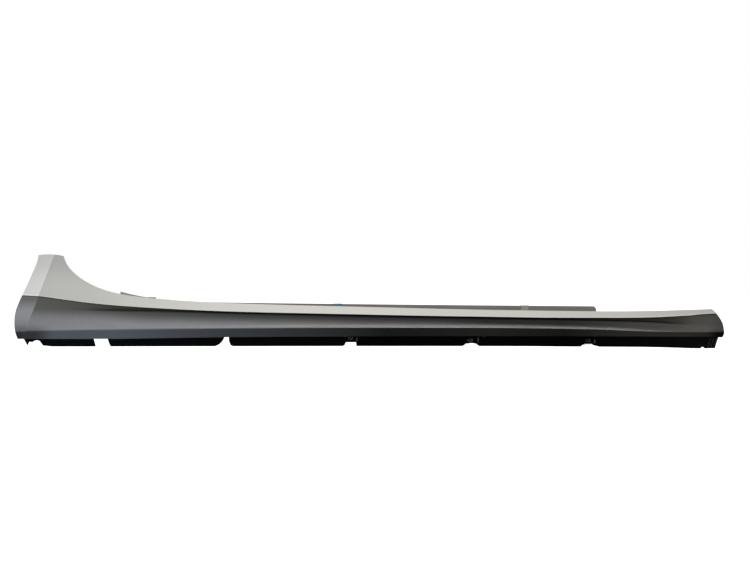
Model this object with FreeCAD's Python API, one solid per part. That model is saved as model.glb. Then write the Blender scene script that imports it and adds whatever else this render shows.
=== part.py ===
"""Right-hand car side skirt: a dark sill moulding, a painted trim with a rear flare, a seal and clips.

Millimetres. +X runs to the front of the car, -Y is the outer face, +Y points to the car body and +Z is up.
The origin is under the middle of the skirt: halfway along X and Y, at the height of the lowest edge.
"""
import FreeCAD
import Part
import math
import os
from FreeCAD import Vector

os.makedirs("parts", exist_ok=True)

# Walls and clearances
wall = 2.8
end_wall = 3.0
seat_gap = 0.35
seam_gap = 0.6
return_depth = 17.0
hollow_drop = 12.0

# Distance from a corner at which its rounding starts
crease_rounding = 1.6
trim_edge_rounding = 1.3

# Planes beyond the whole skirt, for trimming solids, and how far a cutter runs past what it cuts
far_x = 1200.0
far_y = 90.0
far_z = 320.0
low_z = -20.0
cut_margin = 2.0

# Side view, as points (x, z) on the outline and on the lines that run along the skirt
arch_edge = [(-991.4, 28.5), (-999, 56.4), (-1000, 78), (-997.9, 99.5), (-989.9, 124.4),
             (-977.8, 150.3), (-962.3, 182.2), (-948.2, 215.7), (-936, 246), (-932.7, 263.4)]
flare_top_mid = (-897, 265.4)
top_edge = [(-861.4, 260.6), (-847, 229.8), (-821.6, 204.5), (-783.8, 180.5), (-727.4, 159.5),
            (-642.3, 144.7), (-503.2, 133.4), (-300, 124.6), (0, 117), (250, 110.6), (566, 105.6),
            (763.5, 105.2), (904.5, 109.1), (965.7, 111.1)]
front_edge = [(965.7, 111.1), (979.2, 98.4), (988.5, 84.9), (995.3, 72.8), (999, 55.3),
              (1000, 43.1), (995.3, 32.4)]
flange_front_edge = [(983.7, 31.4), (977.8, 12.1), (970.5, low_z)]
seam_line = [(-1060, 151.5), (-978, 150.3), (-932, 147.2), (-796, 128.3), (-608, 113.6),
             (-331, 101.8), (0, 93.9), (300, 88.5), (640, 86.2), (760, 86.6), (850, 89.8),
             (976, 97), (1060, 100)]
groove_line = [(-1060, 119), (-930, 115), (-787, 109.4), (-562, 104.3), (-393, 99), (-139, 93),
               (0, 90.3), (200, 86.8), (369, 83.8), (538, 79.8), (763, 75.6), (860, 70.8),
               (950, 66), (1060, 64)]
crease_line = [(-1060, 46), (-872, 50.2), (-435, 56.1), (-54, 58.4), (298, 58.4), (538, 56.1),
               (707, 51.9), (791, 48.2), (904, 46.5), (1060, 46)]
lip_line = [(-1060, 27), (-760, 27.1), (-410, 31.9), (298, 35), (623, 34.4), (1060, 32.3)]
flange_line = [(-1060, 5.4), (-870, 5.4), (-54, 6.5), (298, 6.5), (623, 4.8), (820, 3.4),
               (913, 0), (1060, 1.5)]
ledge_line = [(-1060, 178), (-930, 169), (-860, 162), (-727, 156.0), (-642.3, 141.5),
              (-503.2, 130.2), (-300, 121.4), (0, 113.8), (250, 107.4), (566, 102.4),
              (763.5, 102.0), (904.5, 105.9), (1060, 108)]
rail_top_line = [(-705, 161), (-664, 150.5), (-590, 139), (-480, 131.5), (-342, 128.6),
                 (0, 124.6), (300, 121.6), (630, 119)]
trim_reach_line = [(-1060, 290), (-840, 290), (-700, 190), (-560, 156), (0, 134), (600, 124),
                   (1060, 132)]

# Depth of the same lines, as points (station, y); a station is a section's x at the floor
seam_depth = [(-1050, -4), (-987.3, -30), (-900, -31), (-700, -27), (-400, -22), (0, -20),
              (600, -22), (850, -27), (950, -27), (995, -20), (1040, -2)]
trim_lean = [(-1050, 0.2), (-850, 0.2), (-640, 0.35), (-400, 0.6), (0, 0.68), (600, 0.65),
             (900, 0.55), (1040, 0.5)]
groove_depth = [(-1050, -6), (-987.3, -6), (-880, -3), (-787, 0), (-700, 3), (-500, 4.5),
                (0, 5), (600, 5), (760, 5), (860, 2), (900, -3), (985, -6), (1040, -6)]
crease_depth = [(-1050, -12), (-987.3, -38), (-900, -45), (-700, -48.5), (-300, -50),
                (600, -50), (800, -49), (900, -46), (960, -40), (1000, -28), (1040, -6)]
blade_flare = [(-1050, 1.0), (-987.3, 1.1), (-900, 1.5), (-600, 1.8), (600, 1.8), (800, 1.6),
               (900, 1.2), (1040, 1.0)]
blade_shares = (0.3, 0.6, 0.82)
lip_depth = [(-1050, 15), (-987.3, 13), (-900, 11), (-600, 10), (700, 10), (900, 12), (1040, 16)]
flange_depth = [(-1050, 22), (-987.3, 11), (-900, 7), (900, 7), (985, 11), (1040, 22)]

# Sections: (station, lean of the section plane along x)
rear_stations = [(-1050, 0.378), (-987.3, 0.378)]
main_stations = [(-987.3, 0.378), (-900, 0.3), (-800, 0.2), (-700, 0.1), (-560, 0), (-400, 0),
                 (-200, 0), (0, 0), (200, 0), (400, 0), (560, 0), (680, 0), (780, 0), (860, -0.05),
                 (920, -0.15), (965, -0.27), (1000, -0.36), (1040, -0.38)]
rear_end_reach = -900.0
rear_end_foot = 28.0
front_end_reach = 940.0

# Fixing rail, seal and clips
rail_back_y = 27.5
rail_wall = 2.5
ledge_fall = 8.0
lip_return = 3.5
lip_return_rise = 0.8
rail_start_x = -702.0
rail_end_x = 640.0
rail_corner = 10.0
seal_wall = 4.4
seal_proud = 1.2
seal_foot = 3.5
clip_pitch = 526.0
middle_clip_x = -88.0
clip_width = 23.0
clip_wall = 1.8
clip_gap = 0.3
clip_foot = 4.5
clip_tip_y = 49.6
tongue_width = 11.0
tongue_wall = 2.4
tongue_barb = 9.2
tongue_tip = 2.0
tongue_barb_length = 9.0

# Screw pads recessed in the underside flange:
# (hole's x, hole's distance from the lip, rear side, front side at the lip, front side at the free edge)
screw_pads = [(-53.2, 14.0, -67.0, -37.5, -37.5), (284.4, 25.0, 270.5, 307.5, 301.0),
              (616.9, 25.0, 605.0, 638.0, 629.0)]
pad_start = 3.5
pad_length = 44.0
pad_draft = 4.0
screw_radius = 5.0
screw_lead_in = 0.15
boss_radius = 9.0
boss_height = 1.5
sleeve_height = 3.5
sleeve_turn = 3.5

# Cuts in the underside flange, as points (x, z) of the side view
cut_height = 40.0
cut_behind_lip = 1.2
torn_tab = [(-1010, cut_height), (-973.5, cut_height), (-973.5, 27), (-963.6, 7.9), (-958, 18.8),
            (-949.3, 17.8), (-942.5, 22), (-935, 23.4), (-928.8, 21), (-919.5, 7.9), (-910, 7.2),
            (-893, 5.2), (-893, low_z), (-1010, low_z)]
rear_slot = [(-776, cut_height), (-776, 28), (-771.5, 9), (-773, low_z), (-728, low_z),
             (-729.5, 6), (-732.5, 12), (-736.5, 26), (-736.5, cut_height)]
second_slot_arc = [(-408.5, 30), (-417.5, 16.5), (-438, 5.5)]
second_slot_side = [(-438, 5.5), (-438, low_z), (-379, low_z), (-382, 5), (-391, 9.5), (-395, 20),
                    (-395.6, cut_height), (-408.5, cut_height), (-408.5, 30)]
rear_notch = [(-78, low_z), (-76, 6), (-69.5, 9.5), (-65.5, 17.5), (-37.5, 17.5), (-36.2, 6),
              (-36.2, low_z)]
middle_notch = [(258, low_z), (262, 6), (271, 11.5), (284, 14.8), (293, 14.8), (303, 11.5),
                (310, 6), (313, low_z)]
front_notch = [(590, low_z), (596, 5.5), (603, 10.3), (627, 10.3), (641, 6.5), (648, 4.5),
               (655, low_z)]
front_nick = [(933, low_z), (934, 0), (938, 4.2), (944, 2.5), (948, low_z)]

# Ridges on the flange's front end, as the x of their lower ends
ridge_xs = [953.0, 961.5, 970.0]
ridge_width = 3.0
ridge_foot = 4.0
ridge_top = 26.0
ridge_slant = 0.3
ridge_height = 1.1

# Snap hooks of the trim in the windows of the moulding
hook_xs = [-570, -390, -210, -30, 150, 330, 510, 690, 860]
hook_width = 14.0
hook_wall = 2.2
hook_barb = 1.5
hook_nose = 2.5
window_gap = 0.5

# Stiffening ribs
rib_xs = [x - 90 for x in hook_xs[::2]]
rib_wall = 1.8
rib_depth = 9.0
rib_top_drop = 5.0

# Push-in clips on the back of the flare: (node, x, z)
push_clips = [("push_clip_upper", -900.0, 232.0), ("push_clip_lower", -872.0, 192.0)]
tower_width = 24.0
tower_depth = 12.0
tower_wall = 2.0
flare_tilt = 0.35
head_radius = 8.0
head_wall = 1.8
neck_radius = 3.6
fin_wall = 2.0
fin_root = 2.6
fin_tip = 5.4
fin_pitch = 3.6
fin_count = 3


def line_through(points):
    """Returns a smooth function that passes through the points and doesn't overshoot between them."""
    xs = [p[0] for p in points]
    ys = [p[1] for p in points]
    steps = [xs[i + 1] - xs[i] for i in range(len(xs) - 1)]
    slopes = [(ys[i + 1] - ys[i]) / steps[i] for i in range(len(steps))]
    tangents = [slopes[0]]
    for before, after in zip(slopes, slopes[1:]):
        tangents.append(0.0 if before * after <= 0 else 2 * before * after / (before + after))
    tangents.append(slopes[-1])

    def value(x):
        i = 0
        while i < len(steps) - 1 and x > xs[i + 1]:
            i += 1
        h = steps[i]
        t = (x - xs[i]) / h
        if t < 0:
            return ys[0] + slopes[0] * (x - xs[0])
        if t > 1:
            return ys[-1] + slopes[-1] * (x - xs[-1])
        return ((2 * t ** 3 - 3 * t ** 2 + 1) * ys[i] + (t ** 3 - 2 * t ** 2 + t) * h * tangents[i]
                + (3 * t ** 2 - 2 * t ** 3) * ys[i + 1] + (t ** 3 - t ** 2) * h * tangents[i + 1])

    return value


seam_z = line_through(seam_line)
groove_z = line_through(groove_line)
crease_z = line_through(crease_line)
lip_z = line_through(lip_line)
flange_z = line_through(flange_line)
ledge_z = line_through(ledge_line)
rail_z = line_through(rail_top_line)
reach_z = line_through(trim_reach_line)
seam_y = line_through(seam_depth)
lean_at = line_through(trim_lean)
groove_in = line_through(groove_depth)
crease_y = line_through(crease_depth)
flare_at = line_through(blade_flare)
lip_in = line_through(lip_depth)
flange_y = line_through(flange_depth)


def height_on(line, station, tilt):
    """Returns the height at which a line along the skirt crosses a leaning section plane."""
    z = line(station)
    for _ in range(8):
        z = line(station + tilt * z)
    return z


def spline(points):
    """Returns a smooth edge through 3-D points."""
    curve = Part.BSplineCurve()
    curve.interpolate(points)
    return curve.toShape()


def in_side_view(points, y=0.0):
    """Turns (x, z) points into 3-D points in a plane of constant y."""
    return [Vector(x, y, z) for x, z in points]


def along_y(wire, y0, y1):
    """Returns the solid swept along Y by a closed side-view wire that lies at y = 0."""
    face = Part.Face(wire)
    face.translate(Vector(0, y0, 0))
    return face.extrude(Vector(0, y1 - y0, 0))


def polygon_along_y(points, y0, y1):
    """Returns the solid swept along Y by a closed side-view polygon."""
    return along_y(Part.makePolygon(in_side_view(points + points[:1])), y0, y1)


def box(x0, x1, y0, y1, z0, z1):
    """Returns a box between two corners."""
    return Part.makeBox(x1 - x0, y1 - y0, z1 - z0, Vector(x0, y0, z0))


def beside(points, distance):
    """Moves (x, z) points sideways from the smooth curve through them, to its right."""
    curve = Part.BSplineCurve()
    curve.interpolate(in_side_view(points))
    moved = []
    for x, z in points:
        heading = curve.tangent(curve.parameter(Vector(x, 0, z)))[0]
        moved.append((x + heading.z * distance, z - heading.x * distance))
    return moved


def inside_of(curve_points, closing_points):
    """Returns everything on one side of a smooth side-view curve, closed by far corners."""
    chain = [curve_points[-1]] + closing_points + [curve_points[0]]
    edges = [spline(in_side_view(curve_points))] + Part.makePolygon(in_side_view(chain)).Edges
    return along_y(Part.Wire(edges), -far_y, far_y)


def silhouette(distance):
    """Returns the skirt's side-view outline, moved inwards by a distance, as a solid along Y."""
    arch = beside(arch_edge, distance)
    flare_top = beside([arch_edge[-1], flare_top_mid, top_edge[0]], distance)
    top = beside(top_edge, distance)
    front = beside(front_edge, distance)
    low_front, low_rear = (far_x, low_z), (-far_x, low_z)
    high_front, high_rear = (far_x, far_z), (-far_x, far_z)
    behind_arch = inside_of(arch, [(arch[-1][0], far_z), high_front, low_front, (arch[0][0], low_z)])
    under_flare_top = inside_of(
        flare_top, [(far_x, flare_top[-1][1]), low_front, low_rear, (-far_x, flare_top[0][1])])
    under_top = inside_of(
        top, [(far_x, top[-1][1]), low_front, low_rear, high_rear, (top[0][0], far_z)])
    behind_front = inside_of(front, [(front[-1][0], low_z), low_rear, high_rear, (front[0][0], far_z)])
    flange_end = [(x - distance, z) for x, z in flange_front_edge]
    behind_flange_end = polygon_along_y(
        [low_rear, high_rear, high_front, (far_x, flange_end[0][1])] + flange_end, -far_y, far_y)
    outline = behind_arch.common(under_flare_top).common(under_top)
    return outline.common(behind_front).common(behind_flange_end)


def offset_points(points, distance):
    """Moves an open (y, z) chain to its inner side, corner by corner."""
    normals = []
    for (y0, z0), (y1, z1) in zip(points, points[1:]):
        length = math.hypot(y1 - y0, z1 - z0)
        normals.append((-(z1 - z0) / length, (y1 - y0) / length))
    moved = []
    for i, (y, z) in enumerate(points):
        n0 = normals[max(i - 1, 0)]
        n1 = normals[min(i, len(normals) - 1)]
        scale = distance / (1 + n0[0] * n1[0] + n0[1] * n1[1])
        moved.append((y + (n0[0] + n1[0]) * scale, z + (n0[1] + n1[1]) * scale))
    return moved


def trim_face_y(station, tilt, z):
    """Returns the depth of the trim's outer face at a height in a section."""
    return seam_y(station) + lean_at(station) * (z - height_on(seam_z, station, tilt))


def skin_chain(station, tilt):
    """Returns the outer (y, z) points of the sill moulding, from the rail down to the flange's free edge."""
    z_ledge = height_on(ledge_z, station, tilt)
    z_seam = height_on(seam_z, station, tilt)
    z_groove = height_on(groove_z, station, tilt)
    z_crease = height_on(crease_z, station, tilt)
    z_lip = height_on(lip_z, station, tilt)
    land = wall + seat_gap
    y_groove = seam_y(station) + land + groove_in(station)
    y_crease = crease_y(station)
    y_lip = y_crease + lip_in(station)
    flare = []
    for share in blade_shares:
        bend = share ** flare_at(station)
        flare.append((y_groove + (y_crease - y_groove) * bend, z_groove + (z_crease - z_groove) * share))
    return [(rail_back_y, z_ledge - ledge_fall),
            (trim_face_y(station, tilt, z_ledge) + land, z_ledge),
            (seam_y(station) + land, z_seam),
            (y_groove, z_groove)] + flare + [
            (y_crease, z_crease),
            (y_lip, z_lip),
            (y_lip + lip_return, z_lip + lip_return_rise),
            (flange_y(station), height_on(flange_z, station, tilt))]


def section_point(station, tilt, point):
    """Returns the 3-D point of a section."""
    y, z = point
    return Vector(station + tilt * z, y, z)


def rounded_corner(before, corner, after, rounding):
    """Returns the curve that rounds a corner, from a distance before it to the same distance after it."""
    start = corner + (before - corner).normalize() * rounding
    end = corner + (after - corner).normalize() * rounding
    curve = Part.BezierCurve()
    curve.setPoles([start, corner, end])
    return curve


def skin_wire(station, tilt):
    """Returns the closed thin section of the sill moulding's wall, whose hidden inner side is in flats."""
    outer_chain = skin_chain(station, tilt)
    inner_chain = offset_points(outer_chain, wall)
    outer = [section_point(station, tilt, p) for p in outer_chain]
    inner = [section_point(station, tilt, p) for p in inner_chain]
    crease = rounded_corner(outer[6], outer[7], outer[8], crease_rounding)
    edges = [Part.makeLine(outer[i], outer[i + 1]) for i in range(3)]
    edges.append(spline(outer[3:7] + [crease.value(0)]))
    edges.append(crease.toShape())
    edges.append(Part.makeLine(crease.value(1), outer[8]))
    edges += [Part.makeLine(outer[i], outer[i + 1]) for i in (8, 9)]
    edges.append(Part.makeLine(outer[10], inner[10]))
    edges += [Part.makeLine(inner[i], inner[i - 1]) for i in range(10, 0, -1)]
    edges.append(Part.makeLine(inner[0], outer[0]))
    return Part.Wire(edges)


def core_wire(station, tilt):
    """Returns the section of the space that the skin wraps, closed straight across at the back."""
    points = [section_point(station, tilt, p) for p in skin_chain(station, tilt)]
    edges = [Part.makeLine(points[i], points[i + 1]) for i in range(3)]
    edges.append(spline(points[3:8]))
    edges += [Part.makeLine(points[i], points[i + 1]) for i in (7, 8, 9)]
    edges.append(Part.makeLine(points[10], points[0]))
    return Part.Wire(edges)


def trim_wire(station, tilt):
    """Returns the section of a slab as deep as the trim's return flange, its lower edge rounded in flats."""
    z_seam = height_on(seam_z, station, tilt)
    z_reach = height_on(reach_z, station, tilt)
    lower = section_point(station, tilt, (seam_y(station), z_seam))
    upper = section_point(station, tilt, (trim_face_y(station, tilt, z_reach), z_reach))
    depth = Vector(0, return_depth, 0)
    edge = rounded_corner(lower + depth, lower, upper, trim_edge_rounding)
    flats = [edge.value(i / 3) for i in range(4)]
    return Part.makePolygon([lower + depth] + flats + [upper, upper + depth, lower + depth])


def trim_hollow_wire(station, tilt):
    """Returns the section of the space behind the trim's wall, open below and at the back."""
    z_low = height_on(seam_z, station, tilt) - hollow_drop
    z_reach = height_on(reach_z, station, tilt)
    low = section_point(station, tilt, (trim_face_y(station, tilt, z_low) + wall, z_low))
    high = section_point(station, tilt, (trim_face_y(station, tilt, z_reach) + wall, z_reach))
    beyond = Vector(0, 2 * return_depth, 0)
    return Part.makePolygon([low, high, high + beyond, low + beyond, low])


def through_stations(wire_at):
    """Returns the solid that runs through every section: a straight rear facet and the smooth main length."""
    rear = Part.makeLoft([wire_at(*s) for s in rear_stations], True, True)
    main = Part.makeLoft([wire_at(*s) for s in main_stations], True, False)
    return rear.fuse(main)


whole_view = silhouette(0)
trim_inside_view = silhouette(wall)
under_trim_view = silhouette(wall + seat_gap)
end_wall_view = silhouette(end_wall)


def flange_frame(x):
    """Returns a frame on the flange's face: X along the skirt, Y away from the lip, Z inwards."""
    chain = skin_chain(x, 0.0)
    (y0, z0), (y1, z1) = chain[9], chain[10]
    away = Vector(0, y1 - y0, z1 - z0).normalize()
    inwards = Vector(1, 0, 0).cross(away)
    return FreeCAD.Placement(Vector(x, y0, z0), FreeCAD.Rotation(Vector(1, 0, 0), away, inwards))


def recess(x, rear, front_at_lip, front_at_edge):
    """Returns the metal to add and to remove for one recess in the flange, its front side drafted."""
    frame = flange_frame(x)
    front = max(front_at_lip, front_at_edge) + pad_draft + wall
    pan = Part.makeBox(front - rear + wall, pad_length - pad_start + wall, 2 * wall,
                       Vector(rear - wall - x, pad_start - wall, 0))
    end = pad_length + cut_margin
    outlines = []
    for height, draft in ((wall, 0.0), (-cut_margin, pad_draft * (wall + cut_margin) / wall)):
        corners = [(rear, pad_start), (front_at_lip + draft, pad_start), (front_at_edge + draft, end),
                   (rear, end), (rear, pad_start)]
        outlines.append(Part.makePolygon([Vector(px - x, away, height) for px, away in corners]))
    hollow = Part.makeLoft(outlines, True, True)
    pan.Placement = frame
    hollow.Placement = frame
    return pan, hollow


def screw_seat(x, hole_distance):
    """Returns the sleeve of one screw pad, a raised ring outside and a collar inside, and its hole.

    Both are turned a little, so that their surfaces' seams don't lie level with the hole.
    """
    length = boss_height + wall + sleeve_height
    start = Vector(0, hole_distance, wall - boss_height)
    end = start + Vector(0, 0, length)
    sleeve = Part.makeCylinder(boss_radius, length, start)
    hole = Part.makeCylinder(screw_radius, length, start)
    mouth = screw_lead_in + cut_margin
    lead_ins = [Part.makeCone(screw_radius, screw_radius + mouth, mouth, end - Vector(0, 0, screw_lead_in)),
                Part.makeCone(screw_radius + mouth, screw_radius, mouth, start - Vector(0, 0, cut_margin))]
    hole = hole.fuse(lead_ins)
    turn = FreeCAD.Placement(Vector(), FreeCAD.Rotation(Vector(0, 0, 1), sleeve_turn), start)
    sleeve.Placement = flange_frame(x) * turn
    hole.Placement = flange_frame(x) * turn
    return sleeve, hole


def rail_plate(y0, y1, drop_below_ledge, top_offset, corner):
    """Returns an upright strip over the ledge, as long as the rail, with its front upper corner rounded."""
    xs = [rail_start_x + (rail_end_x - rail_start_x) * i / 12 for i in range(13)]
    top = [(x, rail_z(x) + top_offset) for x in xs]
    top[-1] = (rail_end_x - corner, rail_z(rail_end_x) + top_offset)
    bottom = [(x, ledge_z(x) - ledge_fall - drop_below_ledge) for x in reversed(xs)]
    side = (rail_end_x, top[-1][1] - corner)
    knee = (rail_end_x - corner * 0.29, top[-1][1] - corner * 0.29)
    edges = [spline(in_side_view(top)), Part.Arc(*in_side_view([top[-1], knee, side])).toShape(),
             Part.makeLine(*in_side_view([side, bottom[0]])), spline(in_side_view(bottom)),
             Part.makeLine(*in_side_view([bottom[-1], top[0]]))]
    return along_y(Part.Wire(edges), y0, y1)


def hook_height(x):
    """Returns the height of a snap hook's shank: the middle of the land."""
    return (seam_z(x) + ledge_z(x)) / 2


def land_back_y(x, z):
    """Returns the depth of the land's inner side at a height."""
    slope = lean_at(x)
    return trim_face_y(x, 0.0, z) + wall + seat_gap + wall * math.hypot(1, slope)


def snap_hook(x):
    """Returns one hook: a shank through the moulding's window and a barb that drops behind the land."""
    z = hook_height(x)
    root = trim_face_y(x, 0.0, z) + wall / 2
    catch = land_back_y(x, z + hook_wall) + seat_gap
    tip = catch + hook_nose
    profile = [Vector(0, root, z), Vector(0, root, z + hook_wall), Vector(0, tip, z + hook_wall),
               Vector(0, tip, z), Vector(0, catch, z - hook_barb), Vector(0, catch, z), Vector(0, root, z)]
    face = Part.Face(Part.makePolygon(profile))
    face.translate(Vector(x - hook_width / 2, 0, 0))
    return face.extrude(Vector(hook_width, 0, 0))


def snap_window(x):
    """Returns the cutter of the window that a snap hook passes through."""
    z = hook_height(x)
    half = hook_width / 2 + window_gap
    return box(x - half, x + half, trim_face_y(x, 0.0, z) - cut_margin,
               land_back_y(x, z + hook_wall) + cut_margin, z - hook_barb - window_gap,
               z + hook_wall + window_gap)


def behind_lip():
    """Returns the space behind the rolled lip, which is all that the flange's cuts may reach."""
    line = []
    for station, tilt in rear_stations[:1] + main_stations:
        x = station + tilt * height_on(lip_z, station, tilt)
        y = crease_y(station) + lip_in(station) + lip_return + cut_behind_lip
        line.append(Vector(x, y, low_z))
    outline = line + [Vector(line[-1].x, far_y, low_z), Vector(line[0].x, far_y, low_z), line[0]]
    return Part.Face(Part.makePolygon(outline)).extrude(Vector(0, 0, cut_height - low_z))


def flange_cutters():
    """Returns what is cut from the flange: the torn tab, two open slots, three notches and a nick."""
    side = Part.makePolygon(in_side_view(second_slot_side)).Edges
    second_slot = Part.Wire([Part.Arc(*in_side_view(second_slot_arc)).toShape()] + side)
    outlines = [torn_tab, rear_slot, rear_notch, middle_notch, front_notch, front_nick]
    cutters = [along_y(second_slot, -far_y, far_y)] + [polygon_along_y(p, -far_y, far_y) for p in outlines]
    reach = behind_lip()
    return [cutter.common(reach) for cutter in cutters]


def ridge(x, skin):
    """Returns one slanting ridge: a strip of the flange's skin set out from its face."""
    lean = ridge_slant * (ridge_top - ridge_foot)
    outline = [(x, ridge_foot), (x + ridge_width, ridge_foot), (x + ridge_width + lean, ridge_top),
               (x + lean, ridge_top)]
    strip = skin.common(polygon_along_y(outline, crease_y(x), far_y))
    return strip.translated(flange_frame(x).Rotation.multVec(Vector(0, 0, -ridge_height)))


def rib(x):
    """Returns one upright rib that stiffens the skin from behind, rooted in the middle of the wall."""
    chain = skin_chain(x, 0.0)
    rooted = offset_points(chain, wall / 2)[1:10]
    reach = wall + rib_depth
    free = [(y + reach, z) for y, z in chain[1:9]]
    free[0] = (free[0][0], free[0][1] - rib_top_drop)
    profile = [Vector(x, y, z) for y, z in rooted + free[::-1] + rooted[:1]]
    return Part.Face(Part.makePolygon(profile)).extrude(Vector(rib_wall, 0, 0))


def room_for_trim():
    """Returns the band along the outline, above the seam, that the trim's wall and return flange take up."""
    seam = [(x, seam_z(x) - seam_gap) for x, _ in seam_line]
    above = inside_of(seam, [(seam[-1][0], far_z), (seam[0][0], far_z)])
    return above.cut(under_trim_view)


def sill_moulding():
    """Returns the dark moulding with its walls, ribs, rail, screw pads, windows and slots."""
    trim_room = room_for_trim()
    skin = through_stations(skin_wire).common(whole_view).cut(trim_room)
    ridges = [ridge(x, skin) for x in ridge_xs]
    body = skin.cut([snap_window(x) for x in hook_xs])
    core = through_stations(core_wire).translated(Vector(0, wall / 2, 0))
    ends = whole_view.cut(end_wall_view).common(core).cut(trim_room)
    rear_end = ends.common(box(-far_x, rear_end_reach, -far_y, far_y, rear_end_foot, far_z))
    front_end = ends.common(box(front_end_reach, far_x, -far_y, far_y, low_z, far_z))
    rail = rail_plate(rail_back_y - rail_wall, rail_back_y, wall / 2, -seal_proud, rail_corner)
    recesses = [recess(x, rear, at_lip, at_edge) for x, _, rear, at_lip, at_edge in screw_pads]
    seats = [screw_seat(x, distance) for x, distance, *_ in screw_pads]
    body = body.fuse([rear_end, front_end, rail] + [pan for pan, _ in recesses] + [rib(x) for x in rib_xs])
    body = body.cut([hollow for _, hollow in recesses])
    body = body.fuse([sleeve for sleeve, _ in seats]).cut([hole for _, hole in seats] + flange_cutters())
    return body.fuse(ridges)


def clip_tower(x, z):
    """Returns a push-in clip's seat, a slotted box that runs out through the flare, and the y of its back."""
    skin = trim_face_y(x - flare_tilt * z, flare_tilt, z) + wall / 2
    back = skin + tower_depth
    start = skin - tower_depth
    half = tower_width / 2
    front = x + half
    outside = box(x - half, front, start, back, z - half, z + half)
    inside = box(x - half + tower_wall, front + cut_margin, start - cut_margin, back - tower_wall,
                 z - half + tower_wall, z + half - tower_wall)
    neck = neck_radius + seat_gap
    slot = box(x, front + cut_margin, start, back + cut_margin, z - neck, z + neck)
    bore = Part.makeCylinder(neck, back + cut_margin - start, Vector(x, start, z), Vector(0, 1, 0))
    return outside.cut([inside, slot, bore]), back


def push_clip(x, z):
    """Returns a push-in clip: a head inside the seat, a collar outside it and two crossed, barbed fins."""
    _, seat_back = clip_tower(x, z)
    inside_y = seat_back - tower_wall - seat_gap
    collar_y = seat_back + seat_gap
    fins_y = collar_y + head_wall
    out = Vector(0, 1, 0)
    head = Part.makeCylinder(head_radius, head_wall, Vector(x, inside_y - head_wall, z), out)
    neck = Part.makeCylinder(neck_radius, fins_y - inside_y, Vector(x, inside_y, z), out)
    collar = Part.makeCylinder(head_radius, head_wall, Vector(x, collar_y, z), out)
    side = [(collar_y, fin_root), (fins_y + fin_root, fin_root)]
    for i in range(fin_count):
        start = fins_y + fin_root + i * fin_pitch
        side += [(start, fin_tip), (start + fin_pitch, fin_root)]
    outline = side + [(y, -reach) for y, reach in reversed(side)]
    upright = Part.Face(Part.makePolygon([Vector(x, y, z + reach) for y, reach in outline + outline[:1]]))
    upright.translate(Vector(-fin_wall / 2, 0, 0))
    fin = upright.extrude(Vector(fin_wall, 0, 0))
    crossed = fin.copy()
    crossed.rotate(Vector(x, 0, z), out, 90)
    return head.fuse([neck, collar, fin, crossed])


def upper_trim():
    """Returns the painted trim: its face, its return flanges, the snap hooks and the two clip seats."""
    slab = through_stations(trim_wire).common(whole_view)
    behind_face = through_stations(trim_hollow_wire)
    shell = slab.cut(behind_face.common(trim_inside_view))
    behind_mid_wall = behind_face.translated(Vector(0, -wall / 2, 0))
    towers = [clip_tower(x, z)[0].common(behind_mid_wall) for _, x, z in push_clips]
    return shell.fuse([snap_hook(x) for x in hook_xs] + towers)


def clip_cutout(x):
    """Returns the gap that the seal leaves for a rail clip."""
    half = clip_width / 2 + clip_gap
    return box(x - half, x + half, 0, rail_back_y, 0, far_z)


def rail_clip(x):
    """Returns a clip that straddles the rail, with a barbed tongue that points to the car body."""
    front = rail_back_y - rail_wall - clip_gap
    back = rail_back_y + clip_gap
    half = clip_width / 2
    crest = max(rail_z(x - half), rail_z(x + half)) - seal_proud + clip_gap
    foot = ledge_z(x) - ledge_fall + clip_foot
    legs = box(x - half, x + half, front - clip_wall, back + clip_wall, foot, crest + clip_wall)
    legs = legs.cut(box(x - half - cut_margin, x + half + cut_margin, front, back, foot - cut_margin, crest))
    barb_y = clip_tip_y - tongue_barb_length
    side = [(back, tongue_wall / 2), (barb_y, tongue_wall / 2), (barb_y, tongue_barb / 2),
            (clip_tip_y, tongue_tip / 2)]
    outline = side + [(y, -reach) for y, reach in reversed(side)]
    middle = (foot + crest) / 2
    face = Part.Face(Part.makePolygon([Vector(x, y, middle + reach) for y, reach in outline + outline[:1]]))
    face.translate(Vector(-tongue_width / 2, 0, 0))
    return legs.fuse(face.extrude(Vector(tongue_width, 0, 0)))


clip_xs = {
    "rail_clip_rear": middle_clip_x - clip_pitch,
    "rail_clip_middle": middle_clip_x,
    "rail_clip_front": middle_clip_x + clip_pitch,
}
seal_back = rail_back_y - rail_wall - clip_gap
pieces = {
    "sill_moulding": sill_moulding(),
    "upper_trim": upper_trim(),
    "upper_seal": rail_plate(seal_back - seal_wall, seal_back, -seal_foot, 0.0, rail_corner).cut(
        [clip_cutout(x) for x in clip_xs.values()]),
}
for name, x in clip_xs.items():
    pieces[name] = rail_clip(x)
for name, x, z in push_clips:
    pieces[name] = push_clip(x, z)

for name, shape in pieces.items():
    shape.exportStep("parts/" + name + ".step")
    b = shape.BoundBox
    print(name, "solids", len(shape.Solids), "valid", shape.isValid(), "volume", round(shape.Volume),
          "box", [round(v, 1) for v in (b.XMin, b.XMax, b.YMin, b.YMax, b.ZMin, b.ZMax)])
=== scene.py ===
import math

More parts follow.
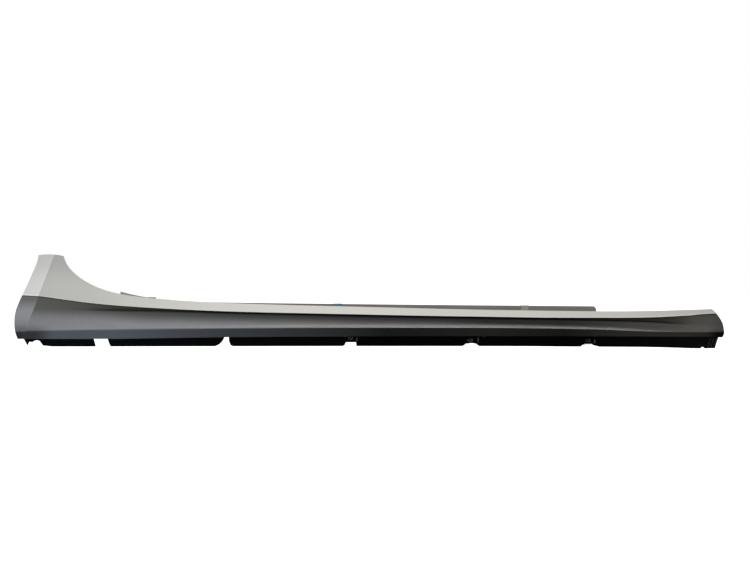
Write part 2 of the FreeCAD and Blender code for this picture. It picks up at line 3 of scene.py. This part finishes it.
import bpy
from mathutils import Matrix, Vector


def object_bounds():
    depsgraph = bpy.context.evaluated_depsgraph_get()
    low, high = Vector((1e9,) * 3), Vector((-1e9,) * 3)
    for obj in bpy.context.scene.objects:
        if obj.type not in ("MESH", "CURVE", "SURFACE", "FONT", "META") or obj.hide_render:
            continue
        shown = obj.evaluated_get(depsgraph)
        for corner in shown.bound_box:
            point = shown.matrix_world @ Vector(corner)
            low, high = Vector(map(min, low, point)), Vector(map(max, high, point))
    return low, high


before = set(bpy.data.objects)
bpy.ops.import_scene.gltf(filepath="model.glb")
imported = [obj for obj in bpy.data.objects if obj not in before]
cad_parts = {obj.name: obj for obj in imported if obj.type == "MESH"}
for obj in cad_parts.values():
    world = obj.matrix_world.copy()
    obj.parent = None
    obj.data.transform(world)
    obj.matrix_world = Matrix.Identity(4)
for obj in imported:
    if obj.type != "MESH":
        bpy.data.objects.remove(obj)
cad_low, cad_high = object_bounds()


# The photographer's corner: a level camera with a long lens, square on to the skirt's outer face, and
# a white floor. Soft daylight falls from above and behind, a weaker window stands to the rear, and
# almost nothing comes back up from below.
photo_width = 750
photo_middle_px = (375.0, 281.0)
skirt_width_px = 710.7
skirt_middle_px = (369.25, 301.4)
camera_distance = 30.0
metres_per_px = (cad_high.x - cad_low.x) / skirt_width_px

bpy.ops.object.select_all(action="DESELECT")
camera_data = bpy.data.cameras.new("photo_camera")
camera_data.lens = camera_data.sensor_width * camera_distance / (photo_width * metres_per_px)
camera_data.clip_end = 200.0
camera = bpy.data.objects.new("photo_camera", camera_data)
bpy.context.scene.collection.objects.link(camera)
camera.location = ((photo_middle_px[0] - skirt_middle_px[0]) * metres_per_px,
                   cad_low.y - camera_distance,
                   (cad_low.z + cad_high.z) / 2 + (skirt_middle_px[1] - photo_middle_px[1]) * metres_per_px)
camera.rotation_euler = (math.radians(90), 0, 0)
bpy.context.scene.camera = camera

bpy.ops.mesh.primitive_plane_add(size=160, location=(0, 0, cad_low.z - 0.002))
floor = bpy.context.object
floor.name = "floor"
white = bpy.data.materials.new("white_floor")
white.use_nodes = True
white_paint = white.node_tree.nodes["Principled BSDF"].inputs
white_paint["Base Color"].default_value = (0.3, 0.3, 0.3, 1)
white_paint["Roughness"].default_value = 1.0
white_paint["Emission Color"].default_value = (1, 1, 1, 1)
white_paint["Emission Strength"].default_value = 0.95
floor.data.materials.append(white)
floor.visible_diffuse = False
floor.visible_glossy = False

room = bpy.data.worlds.new("daylight_room")
bpy.context.scene.world = room
room.use_nodes = True
tree = room.node_tree
tree.nodes.clear()
direction = tree.nodes.new("ShaderNodeTexCoord")
sky_axes = tree.nodes.new("ShaderNodeSeparateXYZ")
tree.links.new(direction.outputs["Generated"], sky_axes.inputs["Vector"])
height = tree.nodes.new("ShaderNodeMapRange")
height.inputs["From Min"].default_value = -1.0
tree.links.new(sky_axes.outputs["Z"], height.inputs["Value"])
glow = tree.nodes.new("ShaderNodeValToRGB")
glow.color_ramp.elements[0].position = 0.42
glow.color_ramp.elements[0].color = (0.0, 0.0, 0.0, 1)
glow.color_ramp.elements[1].color = (1.0, 1.0, 1.0, 1)
for position, level in ((0.5, 0.45), (0.60, 0.95), (0.85, 1.0)):
    glow.color_ramp.elements.new(position).color = (level, level, level, 1)
tree.links.new(height.outputs["Result"], glow.inputs["Fac"])
side = tree.nodes.new("ShaderNodeMapRange")
side.inputs["From Min"].default_value = -1.0
side.inputs["To Min"].default_value = 1.25
side.inputs["To Max"].default_value = 0.75
tree.links.new(sky_axes.outputs["X"], side.inputs["Value"])
daylight = tree.nodes.new("ShaderNodeBackground")
tree.links.new(glow.outputs["Color"], daylight.inputs["Color"])
tree.links.new(side.outputs["Result"], daylight.inputs["Strength"])
backdrop = tree.nodes.new("ShaderNodeBackground")
backdrop.inputs["Color"].default_value = (1, 1, 1, 1)
seen = tree.nodes.new("ShaderNodeLightPath")
choice = tree.nodes.new("ShaderNodeMixShader")
tree.links.new(seen.outputs["Is Camera Ray"], choice.inputs["Fac"])
tree.links.new(daylight.outputs["Background"], choice.inputs[1])
tree.links.new(backdrop.outputs["Background"], choice.inputs[2])
tree.links.new(choice.outputs["Shader"], tree.nodes.new("ShaderNodeOutputWorld").inputs["Surface"])
bpy.context.scene.view_settings.view_transform = "Standard"

for name, place, aim, size, watts in (
        ("skylight", (0.0, 1.1, 1.9), (0, 0, 0.1), (3.4, 0.8), 60),
        ("rear_window", (-3.2, -2.4, 0.9), (-0.7, 0, 0.1), (1.0, 1.2), 24)):
    panel_data = bpy.data.lights.new(name, "AREA")
    panel_data.shape = "RECTANGLE"
    panel_data.size, panel_data.size_y = size
    panel_data.energy = watts
    panel = bpy.data.objects.new(name, panel_data)
    bpy.context.scene.collection.objects.link(panel)
    panel.location = place
    panel.rotation_euler = (Vector(place) - Vector(aim)).to_track_quat("Z", "Y").to_euler()


# Sill moulding: one long injection moulding in dark polypropylene with a fine spark-eroded grain. It
# carries the rail, ribs, windows and screw pads. Towards the rear wheel it has faded grey, and road
# dust lies on the upper side of the blade. Its colour also carries painted light: lit and shaded tones
# above and below the crease along the length, a painted sheen on the dusty blade, painted light on the
# rear facet, painted shade in the groove, the corners and under the lip, and painted highlights on the
# front tab's ridges, the screw pads' walls and the rings round the screw holes.
def start_material(name):
    """Adds a material and returns it with its tree, its shader and its object coordinates."""
    material = bpy.data.materials.new(name)
    material.use_nodes = True
    nodes = material.node_tree.nodes
    place = nodes.new("ShaderNodeTexCoord").outputs["Object"]
    return material, material.node_tree, nodes["Principled BSDF"], place


def feed(tree, socket, value):
    """Links a socket's value in, or sets it where the value is a number or a colour."""
    if isinstance(value, bpy.types.NodeSocket):
        tree.links.new(value, socket)
    elif isinstance(value, tuple) and len(value) == 3 and len(socket.default_value) == 4:
        socket.default_value = (*value, 1)
    else:
        socket.default_value = value


def calculate(tree, operation, first, second=0.0):
    """Returns the result of a math node."""
    node = tree.nodes.new("ShaderNodeMath")
    node.operation = operation
    feed(tree, node.inputs[0], first)
    feed(tree, node.inputs[1], second)
    return node.outputs[0]


def plus(tree, first, second):
    """Returns the sum of two values."""
    return calculate(tree, "ADD", first, second)


def minus(tree, first, second):
    """Returns the first value less the second."""
    return calculate(tree, "SUBTRACT", first, second)


def times(tree, first, second):
    """Returns the product of two values."""
    return calculate(tree, "MULTIPLY", first, second)


def fade(tree, value, start, end):
    """Returns 0 where a value is at start or before it, 1 from end on, and a soft step between."""
    node = tree.nodes.new("ShaderNodeMapRange")
    node.interpolation_type = "SMOOTHSTEP"
    feed(tree, node.inputs["Value"], value)
    low, high = min(start, end), max(start, end)
    node.inputs["From Min"].default_value, node.inputs["From Max"].default_value = low, high
    node.inputs["To Min"].default_value, node.inputs["To Max"].default_value = (
        (0.0, 1.0) if start < end else (1.0, 0.0))
    return node.outputs["Result"]


def blend(tree, share, under, over):
    """Returns a colour between two, by a share from 0 to 1."""
    node = tree.nodes.new("ShaderNodeMix")
    node.data_type = "RGBA"
    feed(tree, node.inputs["Factor"], share)
    feed(tree, node.inputs["A"], under)
    feed(tree, node.inputs["B"], over)
    return node.outputs["Result"]


def colour_along(tree, value, stops):
    """Returns the colour that a value picks from a list of (value, colour), in rising order."""
    low, high = stops[0][0], stops[-1][0]
    share = tree.nodes.new("ShaderNodeMapRange")
    feed(tree, share.inputs["Value"], value)
    share.inputs["From Min"].default_value, share.inputs["From Max"].default_value = low, high
    ramp = tree.nodes.new("ShaderNodeValToRGB")
    tree.links.new(share.outputs["Result"], ramp.inputs["Fac"])
    for i, (position, colour) in enumerate(stops):
        share_here = (position - low) / (high - low)
        last = i == len(stops) - 1
        stop = ramp.color_ramp.elements[0 if i == 0 else -1] if i == 0 or last else (
            ramp.color_ramp.elements.new(share_here))
        stop.position = share_here
        stop.color = (*colour, 1)
    return ramp.outputs["Color"]


def height_along(tree, x, line):
    """Returns the height in metres of a line (x, z) along the skirt, given in millimetres."""
    share = tree.nodes.new("ShaderNodeMapRange")
    feed(tree, share.inputs["Value"], x)
    share.inputs["From Min"].default_value, share.inputs["From Max"].default_value = -1.1, 1.1
    curve = tree.nodes.new("ShaderNodeFloatCurve")
    tree.links.new(share.outputs["Result"], curve.inputs["Value"])
    points = curve.mapping.curves[0].points
    for i, (px, pz) in enumerate(line):
        spot = ((px + 1100) / 2200, pz / 200)
        if i in (0, len(line) - 1):
            points[0 if i == 0 else -1].location = spot
        else:
            points.new(*spot)
    curve.mapping.update()
    return times(tree, curve.outputs["Value"], 0.2)


def mottle(tree, place, size, stretch=(1, 1, 1), detail=2.0, roughness=0.5):
    """Returns noise from 0 to 1 whose patches are about as large as size, in metres."""
    scaled = tree.nodes.new("ShaderNodeMapping")
    tree.links.new(place, scaled.inputs["Vector"])
    scaled.inputs["Scale"].default_value = [1 / (size * s) for s in stretch]
    noise = tree.nodes.new("ShaderNodeTexNoise")
    tree.links.new(scaled.outputs["Vector"], noise.inputs["Vector"])
    noise.inputs["Scale"].default_value = 1.0
    noise.inputs["Detail"].default_value = detail
    noise.inputs["Roughness"].default_value = roughness
    return noise.outputs["Fac"]


def relief(tree, height, depth, under=None):
    """Returns the normal of a surface whose height varies by a depth in metres."""
    node = tree.nodes.new("ShaderNodeBump")
    node.inputs["Distance"].default_value = depth
    feed(tree, node.inputs["Height"], height)
    if under is not None:
        tree.links.new(under, node.inputs["Normal"])
    return node.outputs["Normal"]


def distance_from(tree, place, middle, reach):
    """Returns 0 at a point and 1 at a reach from it, which may differ along X, Y and Z; in metres."""
    moved = tree.nodes.new("ShaderNodeMapping")
    moved.vector_type = "TEXTURE"
    tree.links.new(place, moved.inputs["Vector"])
    moved.inputs["Location"].default_value = middle
    moved.inputs["Scale"].default_value = reach
    length = tree.nodes.new("ShaderNodeVectorMath")
    length.operation = "LENGTH"
    tree.links.new(moved.outputs["Vector"], length.inputs[0])
    return length.outputs["Value"]


lip_line = [(-1060, 27), (-760, 27.1), (-410, 31.9), (298, 35), (623, 34.4), (1060, 32.3)]
crease_line = [(-1060, 46), (-872, 50.2), (-435, 56.1), (-54, 58.4), (298, 58.4), (538, 56.1),
               (707, 51.9), (791, 48.2), (904, 46.5), (1060, 46)]
groove_line = [(-1060, 119), (-930, 115), (-787, 109.4), (-562, 104.3), (-393, 99), (-139, 93),
               (0, 90.3), (200, 86.8), (369, 83.8), (538, 79.8), (763, 75.6), (860, 70.8),
               (950, 66), (1060, 64)]
screw_mouths = [((-0.0532, -0.0237, 0.0288), 0.75), ((0.2844, -0.0147, 0.0236), 0.65),
                ((0.6169, -0.0149, 0.0228), 0.35)]
ridge_start, ridge_pitch, ridge_slant = 0.9533, 0.0085, 0.3
# The first three are light scuffs on the lip and the front tab; the last three are painted highlights on
# the screw pads' front walls.
scuffs_and_highlights = [((0.324, -0.036, 0.033), (0.006, 0.02, 0.002)),
          ((-0.068, -0.036, 0.0335), (0.004, 0.02, 0.002)),
          ((0.931, -0.02, 0.0096), (0.004, 0.03, 0.003)),
          ((0.307, -0.02, 0.0235), (0.003, 0.03, 0.013)),
          ((0.635, -0.02, 0.0190), (0.003, 0.03, 0.009)),
          ((-0.0354, -0.02, 0.0255), (0.003, 0.03, 0.009))]

plastic, tree, shader, place = start_material("grained_dark_plastic")
axes = tree.nodes.new("ShaderNodeSeparateXYZ")
tree.links.new(place, axes.inputs["Vector"])
x, z = axes.outputs["X"], axes.outputs["Z"]
crease = height_along(tree, x, crease_line)
groove = height_along(tree, x, groove_line)
over_crease = minus(tree, z, crease)
blade_share = calculate(tree, "DIVIDE", over_crease, minus(tree, groove, crease))

# Painted light: the tones above and below the crease are lit and shaded copies of the plastic, lighter
# towards the rear wheel (partly its faded grey) and with a painted highlight near the front end.
upper_tone_and_painted_light = colour_along(tree, x, [
    (-1.0, (0.098, 0.100, 0.090)), (-0.72, (0.078, 0.079, 0.070)), (-0.40, (0.038, 0.040, 0.041)),
    (0.0, (0.019, 0.019, 0.018)), (0.55, (0.014, 0.014, 0.013)), (0.76, (0.048, 0.046, 0.039)),
    (0.88, (0.050, 0.048, 0.040)), (0.96, (0.066, 0.063, 0.054)), (1.0, (0.030, 0.029, 0.026))])
lower_tone_and_painted_light = colour_along(tree, x, [
    (-1.0, (0.205, 0.230, 0.272)), (-0.72, (0.190, 0.218, 0.258)), (-0.40, (0.098, 0.108, 0.122)),
    (-0.10, (0.058, 0.060, 0.062)), (0.05, (0.021, 0.022, 0.022)), (0.35, (0.038, 0.038, 0.037)),
    (0.55, (0.022, 0.022, 0.021)), (0.90, (0.125, 0.122, 0.115)), (1.0, (0.080, 0.078, 0.072))])
# Road dust on the upper side of the blade, lightened towards the crease and along the length as a painted
# sheen.
dust_and_sheen_colour = colour_along(tree, x, [
    (-1.0, (0.295, 0.300, 0.325)), (-0.5, (0.240, 0.245, 0.262)), (-0.1, (0.176, 0.168, 0.158)),
    (0.2, (0.105, 0.100, 0.093)), (0.45, (0.066, 0.064, 0.057)), (0.8, (0.044, 0.043, 0.037)),
    (1.0, (0.092, 0.090, 0.076))])
tone_and_painted_light = blend(tree, fade(tree, over_crease, 0.002, -0.002), upper_tone_and_painted_light, lower_tone_and_painted_light)
patches = mottle(tree, place, 0.09, (2.5, 1, 0.6), 4.0, 0.6)
runs = mottle(tree, place, 0.012, (1, 1, 7), 3.0, 0.6)
higher = times(tree, fade(tree, x, -0.60, -0.80), 0.22)
lower = times(tree, fade(tree, x, 0.18, 0.38), 0.20)
dust_and_sheen = fade(tree, plus(tree, minus(tree, blade_share, higher), lower), 0.88, 0.15)
dust_and_sheen_edge = over_crease
for start, end, rise in ((-0.40, -0.05, 0.0018), (0.35, 0.55, 0.0035)):
    dust_and_sheen_edge = minus(tree, dust_and_sheen_edge, times(tree, fade(tree, x, start, end), rise))
dust_and_sheen = times(tree, dust_and_sheen, fade(tree, dust_and_sheen_edge, -0.0004, 0.0035))
dust_and_sheen = times(tree, dust_and_sheen, plus(tree, times(tree, patches, 0.5), 0.72))
dust_and_sheen = times(tree, dust_and_sheen, plus(tree, times(tree, runs, 0.16), 0.9))
wear_and_painted_light = blend(tree, dust_and_sheen, tone_and_painted_light, dust_and_sheen_colour)

# Painted light on the rear end's facet: lit from the rear and painted darker towards the bottom.
rear_facet_painted_light = colour_along(tree, z, [
    (0.0375, (0.095, 0.098, 0.108)), (0.052, (0.190, 0.197, 0.215)), (0.066, (0.210, 0.216, 0.232)),
    (0.0855, (0.255, 0.262, 0.285)), (0.105, (0.250, 0.256, 0.275)), (0.122, (0.170, 0.173, 0.178)),
    (0.136, (0.100, 0.102, 0.105))])
past_edge = minus(tree, x, times(tree, z, 0.42))
wear_and_painted_light = blend(tree, fade(tree, past_edge, -0.989, -0.994), wear_and_painted_light, rear_facet_painted_light)
# Painted shade: the lower rear corner is darkened.
rear_corner_shade = times(tree, fade(tree, x, -0.885, -0.945), fade(tree, z, 0.075, 0.040))
wear_and_painted_light = blend(tree, times(tree, rear_corner_shade, 0.75), wear_and_painted_light, (0.030, 0.032, 0.037))

# Painted shadow line along the groove under the trim.
off_groove = calculate(tree, "ABSOLUTE", minus(tree, z, groove))
groove_shadow_line = times(tree, fade(tree, off_groove, 0.0048, 0.0014), fade(tree, x, -0.86, -0.70))
groove_shadow_line = times(tree, groove_shadow_line, fade(tree, x, 0.91, 0.84))
wear_and_painted_light = blend(tree, times(tree, groove_shadow_line, 0.9), wear_and_painted_light, (0.003, 0.003, 0.003))
# Painted shade on the front lower corner.
front_corner_shade = times(tree, fade(tree, x, 0.950, 0.985), fade(tree, z, 0.058, 0.046))
wear_and_painted_light = blend(tree, times(tree, front_corner_shade, 0.85), wear_and_painted_light, (0.006, 0.006, 0.006))
# Below the lip the flange is darkened to near black: partly the unpainted plastic's own black, partly
# painted shade.
under_lip = fade(tree, minus(tree, z, height_along(tree, x, lip_line)), 0.0005, -0.0025)
wear_and_painted_light = blend(tree, times(tree, under_lip, 0.85), wear_and_painted_light, (0.006, 0.006, 0.006))
# Painted highlight on the ridges of the front tab, where they catch the light.
across_ridges = minus(tree, x, times(tree, z, ridge_slant))
across_ridges = minus(tree, across_ridges, ridge_start)
ridges = calculate(tree, "PINGPONG", across_ridges, ridge_pitch / 2)
ridges = times(tree, fade(tree, ridges, 0.0026, 0.0012),
                fade(tree, across_ridges, -0.003, -0.002))
ridges = times(tree, ridges, fade(tree, z, 0.031, 0.027))
wear_and_painted_light = blend(tree, times(tree, ridges, 0.8), wear_and_painted_light, (0.110, 0.110, 0.107))
# Light scuffs, and painted highlights on the screw pads' walls.
for middle, reach in scuffs_and_highlights:
    scuff_and_highlight = fade(tree, distance_from(tree, place, middle, reach), 1.0, 0.2)
    wear_and_painted_light = blend(tree, times(tree, scuff_and_highlight, 0.8), wear_and_painted_light, (0.42, 0.41, 0.39))
# Painted highlight, partly a rubbed edge: a light ring round each screw hole's mouth on its pad.
for mouth, rubbed in screw_mouths:
    from_mouth = distance_from(tree, place, mouth, (0.0088, 0.02, 0.0049))
    ring = times(tree, fade(tree, from_mouth, 1.0, 0.85), fade(tree, from_mouth, 0.60, 0.72))
    wear_and_painted_light = blend(tree, times(tree, ring, rubbed), wear_and_painted_light, (0.70, 0.69, 0.66))
tree.links.new(wear_and_painted_light, shader.inputs["Base Color"])
gloss = plus(tree, times(tree, dust_and_sheen, 0.22), 0.40)
gloss = plus(tree, gloss, times(tree, mottle(tree, place, 0.03), 0.08))
tree.links.new(gloss, shader.inputs["Roughness"])
shader.inputs["Specular IOR Level"].default_value = 0.45
grain = mottle(tree, place, 0.0009, (1, 1, 1), 3.0, 0.65)
waves = mottle(tree, place, 0.10, (3, 1, 1), 1.0)
tree.links.new(relief(tree, grain, 0.00009, relief(tree, waves, 0.0004)), shader.inputs["Normal"])
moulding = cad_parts["sill_moulding"]
moulding.data.materials.clear()
moulding.data.materials.append(plastic)


# Upper trim: a plastic moulding painted in silver metallic under clear lacquer and hooked into the
# moulding's windows. The lacquer has a faint orange peel, and on top of the return flanges, which a spray
# gun hardly reaches, the coat is thin and grey. The silver also carries painted light: its brightness
# along the length, painted shade towards the top of the flare, a painted highlight along the lower
# edge and painted shade in the gap under that edge.
seam_line = [(-1060, 151.5), (-978, 150.3), (-932, 147.2), (-796, 128.3), (-608, 113.6), (-331, 101.8),
             (0, 93.9), (300, 88.5), (640, 86.2), (760, 86.6), (850, 89.8), (976, 97), (1060, 100)]
silver, tree, shader, place = start_material("silver_metallic_paint")
axes = tree.nodes.new("ShaderNodeSeparateXYZ")
tree.links.new(place, axes.inputs["Vector"])
x, z = axes.outputs["X"], axes.outputs["Z"]
over_seam = minus(tree, z, height_along(tree, x, seam_line))
# Painted light: the silver's brightness changes along the length as the light falls on it.
silver_and_painted_light = colour_along(tree, x, [
    (-1.0, (0.44, 0.45, 0.475)), (-0.88, (0.60, 0.605, 0.590)), (-0.7, (0.72, 0.72, 0.680)),
    (-0.1, (0.66, 0.65, 0.595)), (0.5, (0.53, 0.515, 0.465)), (1.0, (0.43, 0.42, 0.380))])
flakes = mottle(tree, place, 0.0006, (1, 1, 1), 2.0, 0.8)
silver_and_painted_light = blend(tree, fade(tree, flakes, 0.35, 0.75), silver_and_painted_light, (0.62, 0.61, 0.575))
cloud = mottle(tree, place, 0.12, (3, 1, 1), 2.0)
cloudy = times(tree, fade(tree, cloud, 0.5, 0.75), 0.12)
silver_and_painted_light = blend(tree, cloudy, silver_and_painted_light, (0.40, 0.40, 0.385))
# Painted shade towards the top of the flare.
flare_top_shade = times(tree, fade(tree, z, 0.17, 0.26), 0.5)
silver_and_painted_light = blend(tree, flare_top_shade, silver_and_painted_light, (0.34, 0.34, 0.335))
# Painted highlight along the trim's lower edge.
edge_highlight = times(tree, fade(tree, over_seam, 0.0048, 0.0018), 0.5)
silver_and_painted_light = blend(tree, edge_highlight, silver_and_painted_light, (0.76, 0.75, 0.71))
# Painted shade in the gap under the trim's lower edge, in the middle and at the front end.
in_middle = times(tree, fade(tree, x, -0.45, -0.15), fade(tree, x, 0.50, 0.30))
seam_shade_stretch = calculate(tree, "MAXIMUM", in_middle, fade(tree, x, 0.90, 0.94))
seam_shade = times(tree, fade(tree, over_seam, 0.0022, 0.0014), seam_shade_stretch)
silver_and_painted_light = blend(tree, seam_shade, silver_and_painted_light, (0.015, 0.015, 0.015))
facing = tree.nodes.new("ShaderNodeSeparateXYZ")
tree.links.new(tree.nodes.new("ShaderNodeNewGeometry").outputs["Normal"], facing.inputs["Vector"])
silver_and_painted_light = blend(tree, fade(tree, facing.outputs["Z"], 0.70, 0.92), silver_and_painted_light, (0.24, 0.24, 0.235))
tree.links.new(silver_and_painted_light, shader.inputs["Base Color"])
shader.inputs["Metallic"].default_value = 0.35
flake_gloss = plus(tree, times(tree, flakes, 0.18), 0.34)
tree.links.new(flake_gloss, shader.inputs["Roughness"])
shader.inputs["Coat Weight"].default_value = 0.35
shader.inputs["Coat Roughness"].default_value = 0.14
peel = mottle(tree, place, 0.0035, (1, 1, 1), 1.0)
tree.links.new(relief(tree, peel, 0.00002), shader.inputs["Normal"])
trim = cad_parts["upper_trim"]
trim.data.materials.clear()
trim.data.materials.append(silver)


# Seal: a strip of brown-grey cellular rubber glued to the front of the rail, where it closes the gap
# to the door. Its skin is matt, pitted and dusty along the top.
foam, tree, shader, place = start_material("cellular_rubber")
axes = tree.nodes.new("ShaderNodeSeparateXYZ")
tree.links.new(place, axes.inputs["Vector"])
pits = mottle(tree, place, 0.0012, (1, 1, 1), 3.0, 0.7)
soil = mottle(tree, place, 0.05, (3, 1, 1), 3.0)
rubber = colour_along(tree, soil, [(0.25, (0.235, 0.212, 0.194)), (0.75, (0.310, 0.288, 0.272))])
pitted = times(tree, fade(tree, pits, 0.55, 0.4), 0.5)
rubber = blend(tree, pitted, rubber, (0.125, 0.110, 0.100))
rubber = blend(tree, times(tree, fade(tree, axes.outputs["X"], -0.50, -0.60), 0.7), rubber,
               (0.42, 0.41, 0.39))
tree.links.new(rubber, shader.inputs["Base Color"])
shader.inputs["Roughness"].default_value = 0.92
shader.inputs["Specular IOR Level"].default_value = 0.2
tree.links.new(relief(tree, pits, 0.0003), shader.inputs["Normal"])
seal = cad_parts["upper_seal"]
seal.data.materials.clear()
seal.data.materials.append(foam)


# Rail clips and push-in clips: snapped over the rail, and into the seats on the flare's back. They are
# moulded in nylon: the one in the middle is blue, and the others are natural pale grey.
def nylon(name, colour, scuffed):
    """Returns a nylon finish: a waxy sheen, slight clouds in the colour and rubbed high spots."""
    material, tree, shader, place = start_material(name)
    cloud = mottle(tree, place, 0.008, (1, 1, 1), 2.0)
    rubbed = fade(tree, mottle(tree, place, 0.0025, (1, 1, 3), 3.0, 0.7), 0.58, 0.72)
    tint = blend(tree, times(tree, cloud, 0.35), colour, tuple(c * 0.7 for c in colour))
    tint = blend(tree, times(tree, rubbed, 0.35), tint, scuffed)
    tree.links.new(tint, shader.inputs["Base Color"])
    dullness = plus(tree, times(tree, rubbed, 0.2), 0.36)
    tree.links.new(dullness, shader.inputs["Roughness"])
    tree.links.new(relief(tree, cloud, 0.0001), shader.inputs["Normal"])
    return material


blue = nylon("blue_nylon", (0.09, 0.24, 0.38), (0.20, 0.34, 0.46))
pale = nylon("pale_nylon", (0.40, 0.38, 0.34), (0.52, 0.50, 0.47))
for name, finish in (("rail_clip_rear", pale), ("rail_clip_middle", blue), ("rail_clip_front", pale),
                     ("push_clip_upper", pale), ("push_clip_lower", pale)):
    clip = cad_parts[name]
    clip.data.materials.clear()
    clip.data.materials.append(finish)
